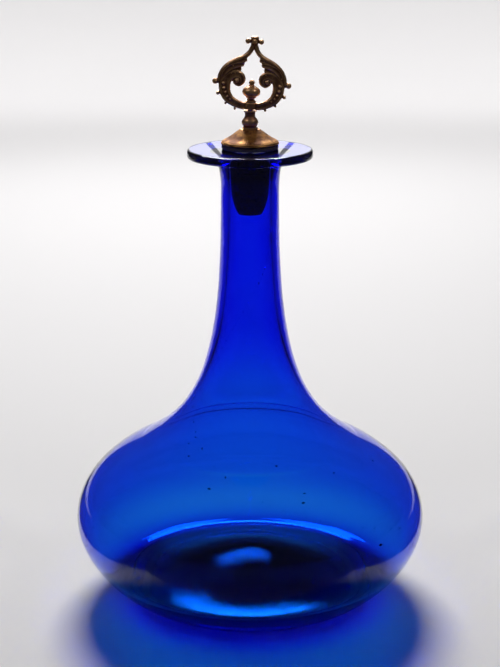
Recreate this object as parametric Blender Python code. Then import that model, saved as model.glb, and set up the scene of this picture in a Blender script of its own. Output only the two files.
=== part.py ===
"""A blown cobalt-glass flask with a wide flat lip, closed by a cork in an ornamental brass mount.

Lengths below are in millimetres and become metres where a mesh is made. The origin is on the
flask's axis, on the surface that it stands on, and +Z is up. A turned piece is a profile of
(radius, height) points. Heights of the stopper's pieces are measured from the lip's top face,
and heights of the crest's and urn's points from their own seat on top of the stem.
"""

import math

import bmesh
import bpy
from mathutils import Matrix, Vector

MM = 0.001
GAP = 0.3  # left between pieces that bear on each other

# Flask, outside
LIP_TOP = 236.0
LIP_THICKNESS = 4.3
LIP_RADIUS = 31.6
LIP_EDGE = 1.2  # how far its corners are rounded
LIP_ROOT_RADIUS = 19.6
NECK_RADIUS = 14.7
NECK_HEIGHT = 214.2
SHOULDER = (56.6, 83.5)
SHOULDER_SLOPE = math.radians(31)
BODY_RADIUS = 91.2
BODY_HEIGHT = 42.0
FOOT_RADIUS = 56.0
FOOT_WIDTH = 4.0
KICK_HEIGHT = 15.0

# Flask, inside
MOUTH_RADIUS = 10.4
BORE_RADIUS = 10.2
WALLS = (  # (height, thickness)
    (BODY_HEIGHT, 2.4), (80.0, 2.0), (105.0, 2.3), (150.0, 4.1), (205.0, 4.5),
)
TROUGH = (63.0, 9.7)  # the lowest ring of the inner floor
TROUGH_OUTWARD = 16.0  # how far the floor stays near that ring's level, on either side
TROUGH_INWARD = 22.0
DOME_HEIGHT = 22.5
DOME_FLATNESS = 25.0  # how far the dome's top stays near its full height

# Stopper
ROD_RADIUS = 1.4
ROD_BORE = 1.75
CORK_LENGTH = 32.5
CORK_TOP_RADIUS = 10.1
CORK_SIDE_RADIUS = 9.4
CORK_POCKET = (5.2, 5.0)  # radius and depth of the recess for the nut
SEAL_RADIUS = 14.2
SEAL_THICKNESS = 2.0
PLATE_RADIUS = 14.6
PLATE_THICKNESS = 1.0
NUT_ACROSS_FLATS = 5.5
NUT_THICKNESS = 2.4
WASHER_RADIUS = 4.6
WASHER_THICKNESS = 0.8

# Crest and urn, which lean together to one side
CREST_SEAT = 19.5
CREST_LEAN = math.radians(4)
CREST_DEPTH = 5.0
STUD_RADIUS = 1.1
STUD_HOLE = 1.45

FLASK_STEPS = 40
STOPPER_STEPS = 32
TUBE_SIDES = 10


def clear_scene():
    for obj in list(bpy.data.objects):
        bpy.data.objects.remove(obj, do_unlink=True)


def material(name, colour, roughness, metallic=0.0, transmission=0.0):
    made = bpy.data.materials.new(name)
    made.use_nodes = True
    shader = made.node_tree.nodes["Principled BSDF"]
    shader.inputs["Base Color"].default_value = (*colour, 1.0)
    shader.inputs["Roughness"].default_value = roughness
    shader.inputs["Metallic"].default_value = metallic
    shader.inputs["Transmission Weight"].default_value = transmission
    made.diffuse_color = (*colour, 1.0)
    return made


def cubic(start, first, second, end, count):
    """Points along a Bezier curve, leaving out its start."""
    points = []
    for i in range(1, count + 1):
        t = i / count
        u = 1 - t
        weights = (u**3, 3 * u * u * t, 3 * u * t * t, t**3)
        corners = (start, first, second, end)
        points.append(tuple(sum(w * c[k] for w, c in zip(weights, corners)) for k in (0, 1)))
    return points


def arc(centre, radius, from_degrees, to_degrees, count):
    """Points on a circle in a profile, both ends included."""
    turn = [from_degrees + (to_degrees - from_degrees) * i / count for i in range(count + 1)]
    return [
        (centre[0] + radius * math.cos(math.radians(a)), centre[1] + radius * math.sin(math.radians(a)))
        for a in turn
    ]


def link(name, bm, finish, smooth_angle=40):
    """Puts a finished bmesh into the scene as a closed object whose faces point out."""
    bmesh.ops.remove_doubles(bm, verts=bm.verts, dist=1e-7)
    bmesh.ops.recalc_face_normals(bm, faces=bm.faces)
    mesh = bpy.data.meshes.new(name)
    bm.to_mesh(mesh)
    bm.free()
    mesh.shade_smooth()
    mesh.set_sharp_from_angle(angle=math.radians(smooth_angle))
    mesh.materials.append(finish)
    obj = bpy.data.objects.new(name, mesh)
    bpy.context.scene.collection.objects.link(obj)
    return obj


def spun(profile, steps, ring=False):
    """A bmesh turned about Z. A ring's profile closes on itself, and any other ends on the axis."""
    bm = bmesh.new()
    verts = [bm.verts.new((radius * MM, 0, height * MM)) for radius, height in profile]
    pairs = list(zip(verts, verts[1:]))
    if ring:
        pairs.append((verts[-1], verts[0]))
    edges = [bm.edges.new(pair) for pair in pairs]
    bmesh.ops.spin(
        bm, geom=verts + edges, cent=(0, 0, 0), axis=(0, 0, 1), angle=math.tau, steps=steps, use_merge=True
    )
    return bm


def turned(name, profile, finish, base=0.0, steps=STOPPER_STEPS, ring=False):
    """A turned piece whose profile is measured from the height base."""
    obj = link(name, spun(profile, steps, ring), finish)
    obj.location.z = base * MM
    return obj


# Flask


def outer_wall():
    """The flask's outside, from the foot up to the root of the lip."""
    foot = (FOOT_RADIUS, 0.0)
    widest = (BODY_RADIUS, BODY_HEIGHT)
    neck = (NECK_RADIUS, NECK_HEIGHT)
    lip = (LIP_ROOT_RADIUS, LIP_TOP - LIP_THICKNESS)
    run, rise = -math.cos(SHOULDER_SLOPE), math.sin(SHOULDER_SLOPE)
    below = (SHOULDER[0] - 4.2 * run, SHOULDER[1] - 4.2 * rise)
    above = (SHOULDER[0] + 36.7 * run, SHOULDER[1] + 36.7 * rise)
    points = [foot]
    points += cubic(foot, (68.2, 1.5), (BODY_RADIUS, 21.9), widest, 7)
    points += cubic(widest, (BODY_RADIUS, 68.8), below, SHOULDER, 7)
    points += cubic(SHOULDER, above, (NECK_RADIUS, 129.1), neck, 9)
    points += cubic(neck, (NECK_RADIUS, 224.1), (lip[0] - 4.0, lip[1] - 0.8), lip, 4)
    return points


def wall_at(height):
    """The glass's thickness, eased between the heights in WALLS."""
    for (low, thin), (high, thick) in zip(WALLS, WALLS[1:]):
        if height < high:
            t = max(0.0, (height - low) / (high - low))
            return thin + (thick - thin) * t * t * (3 - 2 * t)
    return WALLS[-1][1]


def inner_wall():
    """The inside of the body and neck, from the body's widest up to the top of the neck."""
    outside = outer_wall()
    points = []
    for before, here, after in zip(outside, outside[1:], outside[2:]):
        if not BODY_HEIGHT <= here[1] <= NECK_HEIGHT:
            continue
        along = Vector((after[0] - before[0], after[1] - before[1])).normalized()
        inward = Vector((-along.y, along.x)) * wall_at(here[1])
        points.append((here[0] + inward.x, here[1] + inward.y))
    return points


def flask_profile():
    foot_inside = (FOOT_RADIUS - FOOT_WIDTH, 0.0)
    kick = [(0.0, KICK_HEIGHT)]
    kick += cubic(kick[0], (22.0, KICK_HEIGHT), (41.0, 3.5), foot_inside, 5)
    rim_at = LIP_RADIUS - LIP_EDGE
    rim = arc((rim_at, LIP_TOP - LIP_THICKNESS + LIP_EDGE), LIP_EDGE, -90, 0, 3)
    rim += arc((rim_at, LIP_TOP - LIP_EDGE), LIP_EDGE, 0, 90, 3)
    edge = MOUTH_RADIUS + 1.6
    mouth = arc((edge, LIP_TOP - 1.6), 1.6, 90, 180, 3)
    inside = inner_wall()
    throat = [(BORE_RADIUS, LIP_TOP - 12.0)]
    side = inside[0]
    trough = cubic(side, (side[0] - 0.8, 26.0), (TROUGH[0] + TROUGH_OUTWARD, TROUGH[1]), TROUGH, 8)
    inward = (TROUGH[0] - TROUGH_INWARD, TROUGH[1])
    dome = cubic(TROUGH, inward, (DOME_FLATNESS, DOME_HEIGHT), (0.0, DOME_HEIGHT), 8)
    return kick + outer_wall() + rim + mouth + throat + inside[::-1] + trough + dome


# Stopper: the plain turned pieces


def cork_profile():
    pocket_radius, pocket_depth = CORK_POCKET
    side = (CORK_SIDE_RADIUS, 13.0 - CORK_LENGTH)
    end = (pocket_radius + 0.7, -CORK_LENGTH)
    return [
        (ROD_BORE, 0.0),
        (CORK_TOP_RADIUS, 0.0),
        side,
        *cubic(side, (9.2, 7.0 - CORK_LENGTH), (7.2, 2.0 - CORK_LENGTH), end, 7),
        (pocket_radius, -CORK_LENGTH),
        (pocket_radius, pocket_depth - CORK_LENGTH),
        (ROD_BORE, pocket_depth - CORK_LENGTH),
    ]


def disc_profile(radius, thickness, edge, count=4):
    """A disc with the rod's hole through it and a rounded rim."""
    lower = arc((radius - edge, edge), edge, -90, 0, count)
    upper = arc((radius - edge, thickness - edge), edge, 0, 90, count)
    return [(ROD_BORE, 0.0), *lower, *upper[(edge * 2 == thickness):], (ROD_BORE, thickness)]


def cone_profile():
    """A spun cap, open underneath: its outside from the top down, then its inside back up."""
    outside = [(4.9, 6.2), (5.9, 5.5), (8.6, 3.5), (11.6, 1.5), (13.3, 0.6), (14.2, 0.0)]
    inside = [(13.2, 0.0), (12.4, 0.4), (10.9, 0.9), (8.0, 2.7), (5.3, 4.8), (4.5, 5.4)]
    return [(ROD_BORE, 6.2), *outside, *inside, (ROD_BORE, 5.4)]


def stem_profile():
    foot = [(3.9, 0.0), (3.9, 0.6), (3.3, 0.9), (3.4, 1.4)]
    knop = [(3.9, 2.1), (4.15, 3.0), (4.0, 4.0), (3.5, 4.9), (2.8, 5.7)]
    neck = [(2.55, 6.6), (2.55, 7.4), (2.8, 8.2), (3.2, 8.6), (3.2, 9.0)]
    return [(ROD_BORE, 0.0), *foot, *knop, *neck, (ROD_BORE, 9.0)]


def rod_profile(length):
    point = 0.4
    return [
        (0.0, 0.0),
        (ROD_RADIUS - point, 0.0),
        (ROD_RADIUS, point),
        (ROD_RADIUS, length - point),
        (ROD_RADIUS - point, length),
        (0.0, length),
    ]


def urn_profile():
    """A small urn with a ball on top, and the stud under it that clamps the crest to the stem."""
    stud = [(0.0, -4.4), (STUD_RADIUS, -4.4), (STUD_RADIUS, 4.2)]
    base = [(2.8, 4.2), (2.8, 4.6), (1.8, 5.1), (1.7, 5.6), (2.7, 6.4)]
    bulb = [(3.8, 7.3), (4.4, 8.3), (4.5, 9.2), (4.0, 10.4), (2.7, 11.5), (1.5, 12.2)]
    return stud + base + bulb + arc((0, 13.6), 1.45, -35, 90, 6)


def hex_nut(name, finish, base):
    bm = bmesh.new()
    corner = NUT_ACROSS_FLATS / 2 / math.cos(math.radians(30))
    bmesh.ops.create_cone(
        bm,
        cap_ends=True,
        segments=6,
        radius1=corner * MM,
        radius2=corner * MM,
        depth=NUT_THICKNESS * MM,
    )
    nut = link(name, bm, finish, smooth_angle=20)
    nut.location.z = (base + NUT_THICKNESS / 2) * MM
    return nut


def drill(obj, radius, length, centre, parent=None):
    """Cuts a round hole along Z through obj."""
    bm = bmesh.new()
    bmesh.ops.create_cone(
        bm, cap_ends=True, segments=24, radius1=radius * MM, radius2=radius * MM, depth=length * MM
    )
    cutter = link(obj.name + "_drill", bm, obj.active_material)
    cutter.location.z = centre * MM
    cutter.parent = parent
    cutter.hide_render = True
    cutter.display_type = "WIRE"
    hole = obj.modifiers.new("hole", "BOOLEAN")
    hole.operation = "DIFFERENCE"
    hole.solver = "EXACT"
    hole.object = cutter


# Crest: two mirrored halves of scrolls and leaves, beads, and a fleuron


def smooth_path(points, count):
    """A Catmull-Rom curve through points, each (across, up, half width), as count + 1 points."""
    padded = [points[0], *points, points[-1]]
    found = []
    for i in range(count + 1):
        place = i / count * (len(points) - 1)
        k = min(int(place), len(points) - 2)
        t = place - k
        p0, p1, p2, p3 = (Vector(p) for p in padded[k : k + 4])
        found.append(
            0.5 * (2 * p1 + (p2 - p0) * t + (2 * p0 - 5 * p1 + 4 * p2 - p3) * t**2
                   + (3 * p1 - p0 - 3 * p2 + p3) * t**3)
        )
    return found


def add_strap(bm, points, depth, count, side):
    """A closed strap with an oval section, swept along a path in the crest's plane."""
    path = smooth_path(points, count)
    rings = []
    for i, here in enumerate(path):
        before, after = path[max(i - 1, 0)], path[min(i + 1, count)]
        along = Vector((after.x - before.x, 0, after.y - before.y)).normalized()
        across = Vector((along.z, 0, -along.x))
        ring = []
        for j in range(TUBE_SIDES):
            turn = math.tau * j / TUBE_SIDES
            thick = depth / 2 * min(1.0, here.z / 1.6)
            offset = across * (here.z * math.cos(turn)) + Vector((0, thick * math.sin(turn), 0))
            place = Vector((here.x, 0, here.y)) + offset
            ring.append(bm.verts.new((side * place.x * MM, place.y * MM, place.z * MM)))
        rings.append(ring)
    for ring, following in zip(rings, rings[1:]):
        for j in range(TUBE_SIDES):
            k = (j + 1) % TUBE_SIDES
            bm.faces.new((ring[j], ring[k], following[k], following[j]))
    bm.faces.new(rings[0][::-1])
    bm.faces.new(rings[-1])


def add_ball(bm, across, up, radius, out=0.0):
    place = Matrix.Translation(Vector((across, out, up)) * MM)
    bmesh.ops.create_uvsphere(bm, u_segments=10, v_segments=6, radius=radius * MM, matrix=place)


# Paths are (across, up, half width), for the right-hand half.
SCROLL = (
    (-1.6, 2.3, 1.2), (1.0, 2.1, 1.7), (4.6, 2.0, 1.9), (9.4, 3.9, 2.2), (12.2, 6.7, 2.6), (13.3, 10.4, 3.0),
    (13.0, 13.8, 3.0), (11.0, 16.5, 2.5), (8.2, 17.5, 2.2), (6.0, 16.3, 1.8), (5.9, 14.4, 1.5),
    (7.2, 13.7, 1.3), (8.4, 14.5, 1.2),
)
LEAF = (
    (16.2, 13.6, 0.9), (15.2, 17.2, 1.5), (12.6, 20.4, 2.6), (9.2, 22.6, 3.0), (5.7, 24.2, 2.8),
    (3.0, 26.3, 2.1), (1.4, 28.8, 1.5), (0.5, 31.2, 1.3), (-0.6, 33.6, 1.1),
)
BEADS = ((18.2, 13.2, 1.5), (16.5, 7.4, 0.95), (12.4, 2.7, 0.65), (7.6, 0.2, 0.65))
BEAD_STALK = 2.8
RING_MIDDLE = (0.0, 12.0)


def add_half(bm, side):
    add_strap(bm, SCROLL, CREST_DEPTH, 26, side)
    add_strap(bm, LEAF, CREST_DEPTH * 0.8, 12, side)
    for across, up, radius in BEADS:
        inward = Vector((RING_MIDDLE[0] - across, RING_MIDDLE[1] - up)).normalized() * BEAD_STALK
        stalk = ((across + inward.x, up + inward.y, radius * 0.55), (across, up, radius * 0.55))
        add_strap(bm, stalk, radius * 1.1, 1, side)
        add_ball(bm, side * across, up, radius)
    add_strap(bm, ((0.7, 33.6, 0.8), (3.3, 33.8, 0.8)), 1.6, 1, side)
    add_ball(bm, side * 3.3, 33.8, 1.35)
    add_ball(bm, side * 7.6, 14.6, 1.5)


def crest(finish, lean):
    """Every shape overlaps its neighbour, and one union makes them a single casting."""
    shapes = bmesh.new()
    for side in (1, -1):
        add_half(shapes, side)
        add_ball(shapes, 0.0, 34.0, 1.3, out=side * 1.5)
    add_ball(shapes, 0.0, 34.5, 2.1)
    helper = link("crest_shapes", shapes, finish)
    helper.hide_render = True
    helper.display_type = "WIRE"
    helper.parent = lean

    boss = [(0.0, 0.35), (3.1, 0.35), (3.1, 1.2), (2.9, 3.9), (0.0, 3.9)]
    casting = link("crest", spun(boss, 24), finish)
    casting.parent = lean
    union = casting.modifiers.new("casting", "BOOLEAN")
    union.operation = "UNION"
    union.solver = "EXACT"
    union.use_self = True
    union.object = helper
    drill(casting, STUD_HOLE, 12.0, 2.0, parent=lean)
    return casting


def main():
    clear_scene()
    glass = material("cobalt_glass", (0.005, 0.04, 0.60), 0.03, transmission=1.0)
    gilt = material("aged_brass", (0.52, 0.33, 0.12), 0.35, metallic=1.0)
    dark = material("dark_brass", (0.22, 0.14, 0.06), 0.45, metallic=1.0)
    leather = material("seal_leather", (0.045, 0.028, 0.020), 0.70)
    cork = material("cork", (0.16, 0.09, 0.045), 0.85)
    steel = material("nut_steel", (0.42, 0.41, 0.40), 0.40, metallic=1.0)

    turned("flask", flask_profile(), glass, steps=FLASK_STEPS)
    turned("cork_plug", cork_profile(), cork, LIP_TOP, ring=True)

    seal_at = LIP_TOP + GAP
    plate_at = seal_at + SEAL_THICKNESS + GAP
    cone_at = plate_at + PLATE_THICKNESS + GAP
    turned("seal_washer", disc_profile(SEAL_RADIUS, SEAL_THICKNESS, 0.5, 2), leather, seal_at, ring=True)
    plate = disc_profile(PLATE_RADIUS, PLATE_THICKNESS, PLATE_THICKNESS / 2)
    turned("cap_base_plate", plate, gilt, plate_at, ring=True)
    turned("cap_cone", cone_profile(), gilt, cone_at, ring=True)
    turned("stem_baluster", stem_profile(), dark, LIP_TOP + 10.2, ring=True)

    pocket_top = LIP_TOP - CORK_LENGTH + CORK_POCKET[1]
    washer_at = pocket_top - GAP - WASHER_THICKNESS
    nut_at = washer_at - GAP - NUT_THICKNESS
    washer = [
        (ROD_BORE, 0.0),
        (WASHER_RADIUS, 0.0),
        (WASHER_RADIUS, WASHER_THICKNESS),
        (ROD_BORE, WASHER_THICKNESS),
    ]
    turned("cork_washer", washer, steel, washer_at, ring=True)
    drill(hex_nut("cork_nut", steel, nut_at), ROD_BORE, 4 * NUT_THICKNESS, nut_at)
    rod_end = nut_at - 0.6
    turned("tie_rod", rod_profile(LIP_TOP + 13.6 - rod_end), steel, rod_end, steps=24)

    lean = bpy.data.objects.new("crest_lean", None)
    lean.location.z = (LIP_TOP + CREST_SEAT) * MM
    lean.rotation_euler.y = CREST_LEAN
    bpy.context.scene.collection.objects.link(lean)
    crest(dark, lean)
    turned("urn_finial", urn_profile(), dark, steps=24).parent = lean


main()
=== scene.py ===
"""The looks of the cobalt flask and its mounted cork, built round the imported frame."""

import math

import bmesh
import bpy
from mathutils import Matrix, Vector, noise


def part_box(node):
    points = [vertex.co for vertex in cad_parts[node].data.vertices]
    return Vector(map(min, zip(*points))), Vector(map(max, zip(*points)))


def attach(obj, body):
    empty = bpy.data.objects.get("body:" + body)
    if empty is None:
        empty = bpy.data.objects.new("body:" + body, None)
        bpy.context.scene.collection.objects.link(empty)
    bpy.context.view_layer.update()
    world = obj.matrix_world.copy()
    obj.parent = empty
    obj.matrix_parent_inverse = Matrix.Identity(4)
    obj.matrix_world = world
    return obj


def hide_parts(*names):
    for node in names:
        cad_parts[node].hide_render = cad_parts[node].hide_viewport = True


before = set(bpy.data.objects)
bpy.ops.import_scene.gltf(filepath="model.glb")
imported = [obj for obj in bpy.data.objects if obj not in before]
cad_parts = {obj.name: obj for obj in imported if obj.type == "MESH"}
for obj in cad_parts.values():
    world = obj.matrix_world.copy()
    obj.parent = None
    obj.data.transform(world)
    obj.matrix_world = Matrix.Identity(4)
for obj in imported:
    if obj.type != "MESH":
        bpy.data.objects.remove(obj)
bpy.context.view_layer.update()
MM = 0.001

FLASK_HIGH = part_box("flask")[1]
LIP_TOP = FLASK_HIGH.z
BODY_RADIUS = FLASK_HIGH.x

CAMERA_AWAY = 0.851
CAMERA_OVER_LIP = 0.1424
CAMERA_DOWN = math.radians(15.64)
CAMERA_LENS = 92.6

# Lights and cards aim at these points.
FLOOR_BEFORE_FLASK = (0, -0.25, 0)
FLOOR_BEHIND_FLASK = (0, 1.92, 0)
LIP_MIDDLE = (0, 0, 0.24)
MOUNT_MIDDLE = (0, 0, 0.264)


def added(name, data):
    """A new object in the scene."""
    made = bpy.data.objects.new(name, data)
    bpy.context.scene.collection.objects.link(made)
    return made


def mesh_from(name, bm):
    mesh = bpy.data.meshes.new(name)
    bm.to_mesh(mesh)
    bm.free()
    return mesh


# Stage


def camera():
    """Stands where the picture was taken from: a little above the lip, looking down at the body."""
    data = bpy.data.cameras.new("camera")
    data.lens = CAMERA_LENS
    data.clip_end = 30
    made = added("camera", data)
    made.location = (0, -CAMERA_AWAY, LIP_TOP + CAMERA_OVER_LIP)
    made.rotation_euler = (math.radians(90) - CAMERA_DOWN, 0, 0)
    bpy.context.scene.camera = made


def aimed(name, data, place, target):
    """A new object at a place, facing a target."""
    made = added(name, data)
    made.location = place
    made.rotation_euler = (Vector(target) - Vector(place)).to_track_quat("-Z", "Y").to_euler()
    return made


def area_light(name, place, target, size, watts, spread):
    data = bpy.data.lights.new(name, "AREA")
    data.shape = "RECTANGLE"
    data.size, data.size_y = size
    data.energy = watts
    data.spread = math.radians(spread)
    return aimed(name, data, place, target)


def spot(name, place, target, cone, radius, watts):
    """A narrow beam at the mount. What passes the mount lands on the floor beside the flask."""
    data = bpy.data.lights.new(name, "SPOT")
    data.spot_size = math.radians(cone)
    data.spot_blend = 0.6
    data.shadow_soft_size = radius
    data.energy = watts
    aimed(name, data, place, target)


def card(name, place, target, sheets, strength):
    """Glowing sheets of card in one plane, which only show in polished surfaces."""
    bm = bmesh.new()
    for corners in sheets:
        bm.faces.new([bm.verts.new((x, y, 0)) for x, y in corners])
    mesh = mesh_from(name, bm)
    glow, _, _, shader = shader_of(name + "_glow")
    shader.inputs["Base Color"].default_value = (0, 0, 0, 1)
    shader.inputs["Emission Color"].default_value = (1, 0.99, 0.98, 1)
    shader.inputs["Emission Strength"].default_value = strength
    mesh.materials.append(glow)
    made = aimed(name, mesh, place, target)
    made.visible_camera = False
    made.visible_diffuse = False
    made.visible_transmission = False
    made.visible_shadow = False


def paper_sheet(name, outline, paper, left, right):
    """A sheet along an outline of (y, z) points. Its sides are given at its first and last point."""
    bm = bmesh.new()
    last = len(outline) - 1
    rows = [
        [bm.verts.new((a + (b - a) * i / last, y, z)) for a, b in (left, right)]
        for i, (y, z) in enumerate(outline)
    ]
    for a, b in zip(rows, rows[1:]):
        bm.faces.new((a[0], a[1], b[1], b[0]))
    mesh = mesh_from(name, bm)
    mesh.shade_smooth()
    mesh.materials.append(paper)
    made = added(name, mesh)
    return made


def stage():
    """A pale sweep, lit from behind and above, with the room in front of it dark."""
    paper, _, _, shader = shader_of("sweep_paper")
    shader.inputs["Base Color"].default_value = (0.87, 0.855, 0.86, 1)
    shader.inputs["Roughness"].default_value = 0.9
    shader.inputs["Specular IOR Level"].default_value = 0.1
    near, back = -0.1, 0.4
    bend, bend_radius, top = 1.8, 0.7, 3.0
    outline = [(back, 0.0), (bend, 0.0)]
    for i in range(1, 13):
        turn = math.radians(90 * i / 12)
        outline.append((bend + bend_radius * math.sin(turn), bend_radius * (1 - math.cos(turn))))
    outline.append((bend + bend_radius, top))
    floor = [(near, 0.0), (back, 0.0)]
    front = [(-4.0, 0.0), (near, 0.0)]

    # Each side is an x at the near end and an x at the far end. The glass only mirrors the middle.
    left_end, right_end = (-4.0, -4.0), (4.0, 4.0)
    left_back, right_back = (-0.8, -0.8), (0.8, 0.8)
    left_floor, right_floor = (-0.13, -0.2), (0.13, 0.2)
    paper_sheet("sweep", outline, paper, left_back, right_back)
    paper_sheet("sweep_middle", floor, paper, left_floor, right_floor)
    for name, part, left, right in (
        ("sweep_back_left", outline, left_end, left_back),
        ("sweep_back_right", outline, right_back, right_end),
        ("sweep_left", floor, left_end, left_floor),
        ("sweep_right", floor, right_floor, right_end),
        ("sweep_front", front, left_end, right_end),
    ):
        paper_sheet(name, part, paper, left, right).visible_glossy = False

    world = bpy.data.worlds.new("studio")
    bpy.context.scene.world = world
    world.use_nodes = True
    room = world.node_tree.nodes["Background"]
    room.inputs["Color"].default_value = (1, 0.95, 0.90, 1)
    room.inputs["Strength"].default_value = 0.045
    world.cycles_visibility.diffuse = False
    area_light(
        "key_softbox", (-0.09, 1.55, 1.45), FLOOR_BEFORE_FLASK, size=(0.82, 0.5), watts=14.6, spread=100
    )
    backdrop = area_light(
        "backdrop_light", (0, 1.6, 1.8), FLOOR_BEHIND_FLASK, size=(3.4, 0.5), watts=14.2, spread=78
    )
    backdrop.visible_glossy = False

    # A triangle and a wing at each side of it. The slanting gaps draw blue streaks on the pale lip.
    triangle = [(0.0, 0.03), (-0.176, -0.17), (0.176, -0.17)]
    wing = [(0.0, 0.034), (0.0, 0.17), (0.3, 0.17), (0.3, -0.17), (0.2, -0.17)]
    sheets = [triangle, *([(side * x, y) for x, y in wing] for side in (-1, 1))]
    card("low_card", (0, 2.4, 0.68), LIP_MIDDLE, sheets, strength=1.9)
    for name, side in (("mount_spot_left", -1), ("mount_spot_right", 1)):
        spot(name, (side * 0.55, -0.25, 1.0), MOUNT_MIDDLE, cone=6, radius=0.06, watts=7)
    bpy.context.scene.view_settings.view_transform = "Standard"
    bpy.context.scene.cycles.sample_clamp_indirect = 0
    bpy.context.scene.cycles.blur_glossy = 0


# Shapes taken from the frame

ON_AXIS = 1e-7
SHARPEST_BEND = math.radians(38)
LONG_RUN = 1.5 * MM
TOUCHING = 1e-6


def outline_of(node):
    """The (radius, height) points of a turned CAD node's profile, in order, and whether it is a ring."""
    bm = bmesh.new()
    bm.from_mesh(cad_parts[node].data)
    bmesh.ops.remove_doubles(bm, verts=bm.verts, dist=TOUCHING)
    on_plane = [v for v in bm.verts if abs(v.co.y) < TOUCHING and v.co.x > -TOUCHING]
    chosen = set(on_plane)
    neighbours = {
        v: [e.other_vert(v) for e in v.link_edges if e.other_vert(v) in chosen] for v in on_plane
    }
    ends = [v for v in on_plane if len(neighbours[v]) == 1]
    start = min(ends or on_plane, key=lambda v: (v.co.x, v.co.z))
    order, seen = [start], {start}
    while True:
        following = [v for v in neighbours[order[-1]] if v not in seen]
        if not following:
            break
        order.append(following[0])
        seen.add(following[0])
    points = [(v.co.x, v.co.z) for v in order]
    bm.free()
    return points, not ends


def bends(values, gaps):
    """The second derivatives of a natural cubic spline through values that lie gaps apart."""
    count = len(values)
    upper, right = [0.0] * count, [0.0] * count
    for i in range(1, count - 1):
        slope = (values[i + 1] - values[i]) / gaps[i] - (values[i] - values[i - 1]) / gaps[i - 1]
        pivot = 2 * (gaps[i - 1] + gaps[i]) - gaps[i - 1] * upper[i - 1]
        upper[i] = gaps[i] / pivot
        right[i] = (6 * slope - gaps[i - 1] * right[i - 1]) / pivot
    found = [0.0] * count
    for i in range(count - 2, 0, -1):
        found[i] = right[i] - upper[i] * found[i + 1]
    return found


def eased(points, spacing):
    """Points along a curve of even curvature through the points. It crosses the axis squarely."""
    if len(points) < 3:
        # A straight run gets a point near each end, which keeps its shading flat.
        a, b = (Vector(p) for p in points)
        inset = (b - a).normalized() * spacing
        extra = [a + inset, b - inset] if (b - a).length > 3 * spacing else []
        return [points[0], *(tuple(p) for p in extra), points[1]]
    at_start, at_end = points[0][0] < ON_AXIS, points[-1][0] < ON_AXIS
    full = list(points)
    if at_start:
        full = [(-r, z) for r, z in points[1:4][::-1]] + full
    if at_end:
        full = full + [(-r, z) for r, z in points[-4:-1][::-1]]
    gaps = [math.dist(p, q) for p, q in zip(full, full[1:])]
    curves = [([p[k] for p in full], bends([p[k] for p in full], gaps)) for k in (0, 1)]
    first = full.index(points[0])
    found = []
    for i in range(first, first + len(points) - 1):
        gap = gaps[i]
        pieces = max(1, math.ceil(gap / spacing))
        for step in range(pieces):
            t = step / pieces
            u = 1 - t
            found.append(tuple(
                u * v[i] + t * v[i + 1] + ((u**3 - u) * m[i] + (t**3 - t) * m[i + 1]) * gap * gap / 6
                for v, m in curves
            ))
    return found + [points[-1]]


def refined(points, spacing, ring=False):
    """The profile as smooth runs. They meet at its sharp turns and at the ends of its long flats."""
    count = len(points)
    closed = list(points) + ([points[0]] if ring else [])

    def is_sharp(i):
        before = Vector(points[i]) - Vector(points[i - 1])
        after = Vector(points[(i + 1) % count]) - Vector(points[i])
        return before.angle(after) > SHARPEST_BEND

    inside = range(count) if ring else range(1, count - 1)
    corners = [i for i in inside if is_sharp(i)]
    lengths = [math.dist(p, q) for p, q in zip(closed, closed[1:])]
    # A long stretch beside one a third as long is a flat. A curve through both would bulge there.
    for i, length in enumerate(lengths):
        beside = min(lengths[i - 1], lengths[(i + 1) % len(lengths)])
        if length > max(LONG_RUN, 3 * beside):
            corners += [i, (i + 1) % count]
    corners = sorted(set(corners))
    if ring:
        start = corners[0]
        closed = list(points[start:]) + list(points[:start]) + [points[start]]
        corners = [i - start for i in corners]
    stops = sorted({0, len(closed) - 1, *corners})
    found = []
    for a, b in zip(stops, stops[1:]):
        found += eased(closed[a : b + 1], spacing)[:-1]
    if not ring:
        found.append(closed[-1])
    return [(max(r, 0.0), z) for r, z in found]


def revolve(name, points, steps, ring=False, shape=None):
    """A closed mesh turned about Z. shape(radius, angle, height) may move each point."""
    bm = bmesh.new()
    loops = []
    for radius, height in points:
        if radius < ON_AXIS:
            loops.append([bm.verts.new((0, 0, height))])
            continue
        loop = []
        for k in range(steps):
            angle = math.tau * k / steps
            r, z = shape(radius, angle, height) if shape else (radius, height)
            loop.append(bm.verts.new((r * math.cos(angle), r * math.sin(angle), z)))
        loops.append(loop)
    pairs = list(zip(loops, loops[1:]))
    if ring:
        pairs.append((loops[-1], loops[0]))
    for a, b in pairs:
        for k in range(steps):
            following = (k + 1) % steps
            if len(a) == 1 and len(b) == 1:
                continue
            if len(a) == 1:
                bm.faces.new((a[0], b[k], b[following]))
            elif len(b) == 1:
                bm.faces.new((a[k], b[0], a[following]))
            else:
                bm.faces.new((a[k], b[k], b[following], a[following]))
    bmesh.ops.recalc_face_normals(bm, faces=bm.faces)
    mesh = mesh_from(name, bm)
    mesh.shade_smooth()
    return added(name, mesh)


# Materials


def shader_of(name):
    """A new material, with its nodes, links and shader."""
    made = bpy.data.materials.new(name)
    made.use_nodes = True
    nodes, links = made.node_tree.nodes, made.node_tree.links
    return made, nodes, links, nodes["Principled BSDF"]


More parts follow.
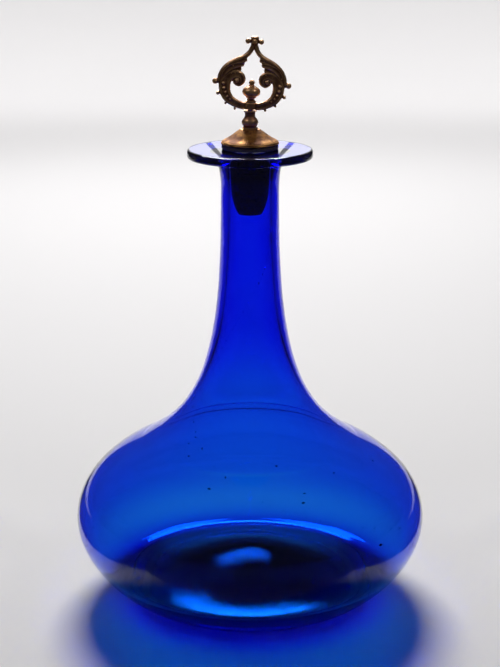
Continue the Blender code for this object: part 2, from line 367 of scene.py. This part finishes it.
def noise_node(nodes, links, scale, detail=4.0, roughness=0.6, stretch=None):
    """Noise in the piece's own space, with features about 1/scale metres wide."""
    place = nodes.new("ShaderNodeTexCoord")
    source = place.outputs["Object"]
    if stretch:
        mapping = nodes.new("ShaderNodeMapping")
        mapping.inputs["Scale"].default_value = stretch
        links.new(source, mapping.inputs["Vector"])
        source = mapping.outputs["Vector"]
    made = nodes.new("ShaderNodeTexNoise")
    made.inputs["Scale"].default_value = scale
    made.inputs["Detail"].default_value = detail
    made.inputs["Roughness"].default_value = roughness
    links.new(source, made.inputs["Vector"])
    return made.outputs["Fac"]


def remap(nodes, links, source, low, high, to_low=0.0, to_high=1.0):
    made = nodes.new("ShaderNodeMapRange")
    made.inputs["From Min"].default_value = low
    made.inputs["From Max"].default_value = high
    made.inputs["To Min"].default_value = to_low
    made.inputs["To Max"].default_value = to_high
    links.new(source, made.inputs["Value"])
    return made.outputs["Result"]


def combine(nodes, links, operation, a, b):
    made = nodes.new("ShaderNodeMath")
    made.operation = operation
    made.use_clamp = True
    links.new(a, made.inputs[0])
    links.new(b, made.inputs[1])
    return made.outputs["Value"]


def blend_colours(nodes, links, factor, a, b):
    """The colour a where the factor is 0 and b where it is 1. Either may be a node's output."""
    made = nodes.new("ShaderNodeMix")
    made.data_type = "RGBA"
    links.new(factor, made.inputs["Factor"])
    sockets = [i for i in made.inputs if i.type == "RGBA"]
    for socket, value in zip(sockets, (a, b)):
        if isinstance(value, tuple):
            socket.default_value = (*value, 1)
        else:
            links.new(value, socket)
    return next(o for o in made.outputs if o.type == "RGBA")


def bump(nodes, links, height, distance, strength=1.0):
    made = nodes.new("ShaderNodeBump")
    made.inputs["Distance"].default_value = distance
    made.inputs["Strength"].default_value = strength
    links.new(height, made.inputs["Height"])
    return made.outputs["Normal"]


def cobalt_glass():
    made, nodes, links, shader = shader_of("cobalt_glass")
    shader.inputs["Base Color"].default_value = (1, 1, 1, 1)
    shader.inputs["Roughness"].default_value = 0.0
    shader.inputs["IOR"].default_value = 1.5
    shader.inputs["Transmission Weight"].default_value = 1.0
    absorption(nodes, links, (0.0, 0.66, 0.982, 1), 1600)
    return made


def absorption(nodes, links, colour, density):
    """Colours a clear piece by how much of it the light crosses."""
    inside = nodes.new("ShaderNodeVolumeAbsorption")
    inside.inputs["Color"].default_value = colour
    inside.inputs["Density"].default_value = density
    links.new(inside.outputs["Volume"], nodes["Material Output"].inputs["Volume"])


def brass(name, gold, patina, edge, worn, roughness):
    """Old brass: bare on raised edges, brown with patina in the hollows, dull where it is brown."""
    made, nodes, links, shader = shader_of(name)
    raised = remap(nodes, links, nodes.new("ShaderNodeNewGeometry").outputs["Pointiness"], *edge)
    patches = remap(nodes, links, noise_node(nodes, links, 170), 0.40, 0.68, -worn, worn)
    bare = combine(nodes, links, "ADD", raised, patches)
    tint = remap(nodes, links, noise_node(nodes, links, 620, 2.0), 0.3, 0.75)
    darker = tuple(c * 0.55 for c in patina)
    brown = blend_colours(nodes, links, tint, darker, patina)
    links.new(blend_colours(nodes, links, bare, brown, gold), shader.inputs["Base Color"])
    links.new(remap(nodes, links, bare, 0.0, 1.0, *roughness), shader.inputs["Roughness"])
    shader.inputs["Metallic"].default_value = 1.0
    grain = noise_node(nodes, links, 1500, 3.0)
    links.new(bump(nodes, links, grain, 0.06 * MM, 0.7), shader.inputs["Normal"])
    return made


def leather():
    made, nodes, links, shader = shader_of("seal_leather")
    grain = noise_node(nodes, links, 1100, 3.0)
    colour = blend_colours(nodes, links, grain, (0.07, 0.05, 0.04), (0.17, 0.13, 0.11))
    links.new(colour, shader.inputs["Base Color"])
    links.new(remap(nodes, links, grain, 0.3, 0.7, 0.75, 0.5), shader.inputs["Roughness"])
    links.new(bump(nodes, links, grain, 0.12 * MM), shader.inputs["Normal"])
    return made


def cork():
    made, nodes, links, shader = shader_of("cork")
    grain = noise_node(nodes, links, 900, 4.0)
    pores = remap(nodes, links, noise_node(nodes, links, 420, 3.0, stretch=(1, 1, 2.6)), 0.56, 0.66)
    plain = blend_colours(nodes, links, grain, (0.10, 0.055, 0.028), (0.24, 0.14, 0.07))
    colour = blend_colours(nodes, links, pores, plain, (0.030, 0.017, 0.010))
    links.new(colour, shader.inputs["Base Color"])
    shader.inputs["Roughness"].default_value = 0.9
    shader.inputs["Specular IOR Level"].default_value = 0.2
    height = combine(nodes, links, "SUBTRACT", grain, pores)
    links.new(bump(nodes, links, height, 0.25 * MM), shader.inputs["Normal"])
    return made


def steel():
    made, nodes, links, shader = shader_of("nut_steel")
    spots = remap(nodes, links, noise_node(nodes, links, 700, 4.0), 0.45, 0.65)
    colour = blend_colours(nodes, links, spots, (0.42, 0.41, 0.40), (0.20, 0.12, 0.07))
    links.new(colour, shader.inputs["Base Color"])
    links.new(remap(nodes, links, spots, 0.0, 1.0, 0.32, 0.65), shader.inputs["Roughness"])
    shader.inputs["Metallic"].default_value = 1.0
    links.new(bump(nodes, links, spots, 0.05 * MM), shader.inputs["Normal"])
    return made


# Flask

UNDER_LIP = 0.95 * LIP_TOP
GLASS_STEPS = 192

# The glass's waviness, which fades out over the last 30 mm below the lip's top.
WAVE_DEPTH = 0.16 * MM
WAVE_FADE = 30 * MM

# The gas seeds: how many, how much longer than wide, and the steps that spread them.
SEEDS = 60
SEED_STRETCH = 1.6
SEED_TURN = 2.399963
SEED_RISE = 0.61803
SEED_GROWTH = 0.7548

# The dark film that paints shade on the flask's inner floor: its edge, its gap over the glass, its depth,
# the peak in its middle, its lumps.
BASE_SHADE_REACH = 0.69 * BODY_RADIUS
BASE_SHADE_GAP = 0.04 * MM
BASE_SHADE_DEPTH = 0.50 * MM
BASE_SHADE_PEAK = 0.25 * MM
BASE_SHADE_PEAK_WIDTH = 7 * MM
BASE_SHADE_LUMP = 0.02 * MM
BASE_SHADE_LUMPS_PER_METRE = 300

# Dark specks that are painted shade for seeds looking dark against the light. Each speck is an angle in
# degrees from the front, a height in mm and a half length in mm.
DARK_SEED_MARKS = (
    (21, 73, 1.2), (23, 76, 0.8), (43, 80, 0.9), (-18, 78, 1.1), (46, 49, 1.4), (-42, 94, 0.7),
    (-38, 87, 0.8), (-44, 91, 0.6), (-62, 50, 0.6), (128, 52, 1.0), (170, 36, 1.1), (-140, 66, 0.9),
    (95, 60, 0.8),
)


def bubble(bm, place, radius, stretch):
    """A gas bubble in the glass: a small sphere whose faces point into itself."""
    sphere = bmesh.ops.create_icosphere(bm, subdivisions=2, radius=radius)["verts"]
    for v in sphere:
        v.co = Vector((v.co.x, v.co.y, v.co.z * stretch)) + place
    faces = {f for v in sphere for f in v.link_faces}
    bmesh.ops.reverse_faces(bm, faces=list(faces))


def wall_middle(points, height):
    """How far from the axis the middle of the body's or the neck's wall is at a height."""
    crossings = []
    for (r1, z1), (r2, z2) in zip(points, points[1:]):
        if min(z1, z2) <= height < max(z1, z2) < UNDER_LIP:
            crossings.append(r1 + (r2 - r1) * (height - z1) / (z2 - z1))
    crossings.sort()
    return (crossings[-1] + crossings[-2]) / 2


def flask():
    points, _ = outline_of("flask")
    # The inside of the mouth stays true, so that the cork keeps its seat.
    true_within = 1.02 * min(r for r, z in points if z > 0.9 * LIP_TOP)

    def blown(radius, angle, height):
        """The slight waviness of hand-blown glass. It only moves a point inwards, and least at the lip."""
        if radius < true_within:
            return radius, height
        place = Vector((math.cos(angle) * 1.3, math.sin(angle) * 1.3, height * 22 + radius * 9))
        wave = 0.5 + 0.5 * noise.noise(place)
        fade = min(1.0, (LIP_TOP - height) / WAVE_FADE)
        return radius - WAVE_DEPTH * wave * fade, max(height, 0.0)

    made = revolve("flask_glass", refined(points, 1.2 * MM), GLASS_STEPS, shape=blown)
    bm = bmesh.new()
    bm.from_mesh(made.data)
    fine = refined(points, 2 * MM)
    # Steps that never repeat spread the seeds evenly, and the same way on each run.
    for i in range(SEEDS):
        angle = i * SEED_TURN
        height = (0.16 + 0.66 * ((i * SEED_RISE) % 1.0)) * LIP_TOP
        radius = wall_middle(fine, height)
        size = (0.16 + 0.30 * ((i * SEED_GROWTH) % 1.0) ** 2) * MM
        place = Vector((radius * math.cos(angle), radius * math.sin(angle), height))
        bubble(bm, place, size, SEED_STRETCH)
    bm.to_mesh(made.data)
    bm.free()
    made.data.shade_smooth()
    made.data.materials.append(cobalt_glass())
    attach(made, "flask")
    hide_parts("flask")
    return fine


def dark_seed_marks(fine):
    """Small dark lumps in the glass wall: painted shade for seeds that look dark against the light."""
    bm = bmesh.new()
    for turn, height, half in DARK_SEED_MARKS:
        angle = math.radians(turn - 90)
        radius = wall_middle(fine, height * MM)
        sphere = bmesh.ops.create_icosphere(bm, subdivisions=2, radius=half * MM)["verts"]
        place = Vector((radius * math.cos(angle), radius * math.sin(angle), height * MM))
        along = Vector((-math.sin(angle), math.cos(angle), 0))
        for v in sphere:
            rough = 0.75 + 0.5 * noise.noise(v.co * 2600 + place * 90)
            across = v.co.dot(along)
            v.co = place + (v.co * 0.5 + along * across * 0.5) * rough
    bmesh.ops.recalc_face_normals(bm, faces=bm.faces)
    mesh = mesh_from("painted_seed_shade", bm)
    mesh.shade_smooth()
    made = added("painted_seed_shade", mesh)
    # The near-black colour is painted shade of seeds seen against the light.
    material, nodes, links, shader = shader_of("painted_seed_shade")
    grain = noise_node(nodes, links, 2500, 2.0)
    colour = blend_colours(nodes, links, grain, (0.004, 0.004, 0.008), (0.02, 0.015, 0.02))
    links.new(colour, shader.inputs["Base Color"])
    shader.inputs["Roughness"].default_value = 0.6
    mesh.materials.append(material)
    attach(made, "flask")


def base_shade_film(fine):
    """A thin dark film over the flask's inner floor, thickest in the middle. It is painted shade that
    darkens the base.
    """
    inner = fine[::-1]
    reach = next(i for i, (r, z) in enumerate(inner) if r > BASE_SHADE_REACH)
    below = [(r, z + BASE_SHADE_GAP) for r, z in inner[: reach + 1]]
    edge = below[-1][0]

    def depth(radius):
        spread = BASE_SHADE_DEPTH * (1 - (radius / edge) ** 2) ** 1.5
        return spread + BASE_SHADE_PEAK * math.exp(-((radius / BASE_SHADE_PEAK_WIDTH) ** 2))

    above = [(r, z + depth(r)) for r, z in below[:-1]]

    def lumpy(radius, angle, height):
        place = Vector((math.cos(angle), math.sin(angle), 0)) * radius * BASE_SHADE_LUMPS_PER_METRE
        return radius, height + BASE_SHADE_LUMP * noise.noise(place) * (1 - radius / edge)

    made = revolve("painted_base_shade", above + below[::-1], GLASS_STEPS, shape=lumpy)
    # The film's dark absorption is painted shade on the flask's floor.
    material, nodes, links, shader = shader_of("painted_base_shade")
    shader.inputs["Transmission Weight"].default_value = 1.0
    shader.inputs["IOR"].default_value = 1.17
    shader.inputs["Roughness"].default_value = 0.03
    absorption(nodes, links, (0.2, 0.5, 0.40, 1), 6000)
    grain = noise_node(nodes, links, 500, 6.0, 0.75)
    links.new(bump(nodes, links, grain, 0.10 * MM, 0.6), shader.inputs["Normal"])
    made.data.materials.append(material)
    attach(made, "flask")


# Stopper

TURNED_STEPS = 128
URN_STEPS = 96
PIT_DEPTH = 0.6 * MM
PITS_PER_METRE = 330
PIT_THRESHOLD = 0.22


def turned(node, body, finish, spacing=0.35, shape=None):
    """The same turned piece as the CAD node's, with a smooth fine profile."""
    points, ring = outline_of(node)
    made = revolve(node + "_skin", refined(points, spacing * MM, ring), TURNED_STEPS, ring, shape)
    made.data.set_sharp_from_angle(angle=math.radians(40))
    made.data.materials.append(finish)
    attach(made, body)
    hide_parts(node)


def pitted(radius, angle, height):
    """The small pits of bark in a cork's side. Its lower end and its pocket stay whole."""
    if radius <= 7 * MM:
        return radius, height
    place = Vector((math.cos(angle) * radius, math.sin(angle) * radius, height * 1.8))
    pit = max(0.0, noise.noise(place * PITS_PER_METRE) - PIT_THRESHOLD)
    return radius - min(1.4 * MM * pit, PIT_DEPTH), height


def smooth_path(points, count):
    """A Catmull-Rom curve through points, as count + 1 points."""
    padded = [points[0], *points, points[-1]]
    found = []
    for i in range(count + 1):
        place = i / count * (len(points) - 1)
        k = min(int(place), len(points) - 2)
        t = place - k
        p0, p1, p2, p3 = (Vector(p) for p in padded[k : k + 4])
        found.append(
            0.5 * (2 * p1 + (p2 - p0) * t + (2 * p0 - 5 * p1 + 4 * p2 - p3) * t**2
                   + (3 * p1 - p0 - 3 * p2 + p3) * t**3)
        )
    return found


def strap(bm, points, depth, side, groove=0.0, count=40):
    """A closed strap with rounded ends, swept in the crest's plane. A groove hollows both its faces."""
    sides = 20
    path = smooth_path(points, count)
    rings = []
    for i, here in enumerate(path):
        before, after = path[max(i - 1, 0)], path[min(i + 1, count)]
        along = Vector((after.x - before.x, 0, after.y - before.y)).normalized()
        across = Vector((along.z, 0, -along.x))
        ends = min(1.0, (i + 0.15) / 2.0, (count - i + 0.15) / 2.0) ** 0.5
        thick = depth * min(1.0, 0.35 + here.z / 2.4) * ends
        ring = []
        for j in range(sides):
            turn = math.tau * j / sides
            u = math.cos(turn)
            out = thick * math.sin(turn) * (1 - groove * (1 - u * u) ** 2)
            place = Vector((here.x, out, here.y)) + across * (here.z * ends * u)
            ring.append(bm.verts.new((side * place.x * MM, place.y * MM, place.z * MM)))
        rings.append(ring)
    for ring, following in zip(rings, rings[1:]):
        for j in range(sides):
            k = (j + 1) % sides
            bm.faces.new((ring[j], ring[k], following[k], following[j]))
    bm.faces.new(rings[0][::-1])
    bm.faces.new(rings[-1])


def ball(bm, across, up, radius, out=0.0):
    place = Matrix.Translation(Vector((across, out, up)) * MM)
    bmesh.ops.create_icosphere(bm, subdivisions=3, radius=radius * MM, matrix=place)


# The crest's right-hand half, in millimetres over its seat: (across, up, half width or radius).
SCROLL = (
    (-1.2, 2.2, 1.3), (1.2, 2.1, 1.7), (4.6, 2.1, 1.9), (9.4, 3.9, 2.2), (12.2, 6.7, 2.6),
    (13.4, 10.4, 2.9), (13.0, 13.8, 2.8), (10.8, 16.5, 2.4), (7.8, 17.4, 2.1), (5.2, 16.2, 1.7),
    (4.9, 13.9, 1.4), (6.6, 12.5, 1.15), (8.4, 13.3, 0.95), (8.4, 14.9, 0.8), (7.3, 15.1, 0.7),
)
OUTER_RIB = (
    (16.5, 12.6, 0.8), (16.0, 16.4, 1.0), (14.2, 19.7, 1.2), (11.3, 22.4, 1.3), (7.8, 24.4, 1.3),
    (4.6, 26.1, 1.2), (2.3, 28.2, 1.2), (1.0, 30.7, 1.2), (0.3, 33.4, 1.2),
)
LOBES = (
    (
        (15.2, 14.4, 0.8), (13.9, 17.8, 1.5), (11.4, 20.4, 1.8), (8.4, 21.8, 1.7), (5.8, 22.4, 1.4),
        (4.2, 22.4, 1.0),
    ),
    ((13.6, 16.0, 0.7), (11.6, 18.5, 1.2), (9.0, 19.7, 1.3), (6.8, 20.0, 1.1), (5.6, 20.3, 0.8)),
    ((11.4, 21.8, 0.6), (8.6, 23.5, 1.2), (6.0, 24.4, 1.4), (4.2, 24.7, 1.3), (3.1, 25.0, 0.9)),
)
PEARLS = ((14.0, 12.6, 0.85), (13.7, 10.2, 0.8), (12.9, 8.1, 0.7), (11.7, 6.3, 0.6), (10.2, 4.9, 0.5))
BEADS = ((18.2, 13.2, 1.5), (16.5, 7.4, 0.95), (12.4, 2.7, 0.65), (7.6, 0.2, 0.65))
SCROLL_EYE = (7.4, 14.3, 1.2)
FLEURON = ((0.0, 31.6, 1.3), (0.0, 33.6, 1.7), (0.0, 35.2, 2.0), (0.0, 36.5, 2.0))
CREST_LEAN = math.radians(4)

# The urn's (radius, height) points in millimetres over the same seat, up to the ball on its top.
URN = (
    (0.0, -4.4), (1.1, -4.4), (1.1, 4.2), (2.8, 4.2), (2.8, 4.6), (1.8, 5.1), (1.7, 5.6), (2.5, 6.2),
    (2.6, 6.4), (2.5, 6.7), (3.5, 7.2), (4.2, 8.0), (4.5, 9.0), (4.3, 10.0), (3.7, 10.8),
    (2.9, 11.4), (2.2, 11.8), (1.6, 12.1), (1.2, 12.5),
)
URN_BALL = 1.45
URN_BALL_UP = 13.6


def seated():
    """Stands a piece on the stem's top, leaning as the old mount does."""
    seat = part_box("stem_baluster")[1].z + 0.3 * MM
    return Matrix.Translation((0, 0, seat)) @ Matrix.Rotation(CREST_LEAN, 4, "Y")


def crest_half(bm, side):
    strap(bm, SCROLL, 2.45, side, groove=0.5, count=90)
    strap(bm, OUTER_RIB, 1.8, side, count=60)
    for lobe, depth in zip(LOBES, (2.7, 1.9, 2.5)):
        strap(bm, lobe, depth, side, groove=0.5, count=36)
    for across, up, radius in PEARLS:
        for face in (1, -1):
            ball(bm, side * across, up, radius, out=face * 1.35)
    across, up, radius = SCROLL_EYE
    for face in (1, -1):
        ball(bm, side * across, up, radius, out=face * 0.9)
    # Each bead stands on a stalk, with a smaller bead as its collar.
    for across, up, radius in BEADS:
        inward = Vector((-across, 12.0 - up)).normalized() * 2.8
        neck = radius * 0.5
        stalk = ((across + inward.x, up + inward.y, neck), (across, up, neck))
        strap(bm, stalk, neck, side, count=6)
        ball(bm, side * across, up, radius)
        collar = Vector((across, up)) + inward.normalized() * radius * 0.95
        ball(bm, side * collar.x, collar.y, radius * 0.62)
    strap(bm, ((0.0, 33.7, 0.85), (3.2, 33.8, 0.75)), 0.85, side, count=8)
    ball(bm, side * 3.3, 33.8, 1.35)
    ball(bm, 0.0, 34.0, 1.3, out=side * 1.5)


def crest(finish):
    """The openwork casting: scrolls and leaves melted together, as its own fine mesh."""
    bm = bmesh.new()
    for side in (1, -1):
        crest_half(bm, side)
    strap(bm, FLEURON, 1.9, 1, count=12)
    bmesh.ops.create_cone(
        bm, cap_ends=True, segments=48, radius1=3.1 * MM, radius2=2.9 * MM, depth=3.4 * MM,
        matrix=Matrix.Translation((0, 0, 2.1 * MM)),
    )
    bmesh.ops.recalc_face_normals(bm, faces=bm.faces)
    rough = mesh_from("crest_rough", bm)
    shaper = added("crest_rough", rough)
    melt = shaper.modifiers.new("melt", "REMESH")
    melt.mode = "VOXEL"
    melt.voxel_size = 0.24 * MM
    soften = shaper.modifiers.new("soften", "SMOOTH")
    soften.factor = 0.5
    soften.iterations = 2
    done = shaper.evaluated_get(bpy.context.evaluated_depsgraph_get())
    melted = bpy.data.meshes.new_from_object(done)
    bpy.data.objects.remove(shaper)
    bpy.data.meshes.remove(rough)

    melted.transform(seated())
    melted.name = "crest_casting"
    melted.shade_smooth()
    melted.materials.append(finish)
    made = added("crest_casting", melted)
    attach(made, "stopper")
    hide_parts("crest")


def urn(finish):
    """The urn leans with the crest, so its profile is taken upright and tilted afterwards."""
    points = [(r * MM, z * MM) for r, z in URN]
    for degrees in range(-40, 90, 13):
        turn = math.radians(degrees)
        up = URN_BALL_UP + URN_BALL * math.sin(turn)
        points.append((URN_BALL * math.cos(turn) * MM, up * MM))
    points.append((0.0, (URN_BALL_UP + URN_BALL) * MM))
    made = revolve("urn_finial_skin", refined(points, 0.3 * MM), URN_STEPS)
    made.data.transform(seated())
    made.data.set_sharp_from_angle(angle=math.radians(45))
    made.data.materials.append(finish)
    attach(made, "stopper")
    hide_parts("urn_finial")


def stopper():
    aged = brass(
        "aged_brass", gold=(1.0, 0.62, 0.32), patina=(0.42, 0.20, 0.12),
        edge=(0.495, 0.53), worn=0.30, roughness=(0.50, 0.32),
    )
    gilt = brass(
        "gilt_brass", gold=(0.80, 0.40, 0.12), patina=(0.30, 0.12, 0.05),
        edge=(0.46, 0.55), worn=0.6, roughness=(0.58, 0.38),
    )
    turned("cork_plug", "stopper", cork(), spacing=0.6, shape=pitted)
    turned("seal_washer", "seal", leather())
    turned("cap_base_plate", "stopper", gilt)
    turned("cap_cone", "stopper", gilt)
    turned("stem_baluster", "stopper", aged)
    urn(aged)
    crest(aged)
    plain = steel()
    for node in ("tie_rod", "cork_washer", "cork_nut"):
        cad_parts[node].data.materials.clear()
        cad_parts[node].data.materials.append(plain)


camera()
stage()
glass_profile = flask()
# The dark specks in the wall are painted shade.
dark_seed_marks(glass_profile)
# The film on the flask's inner floor is painted shade.
base_shade_film(glass_profile)
stopper()
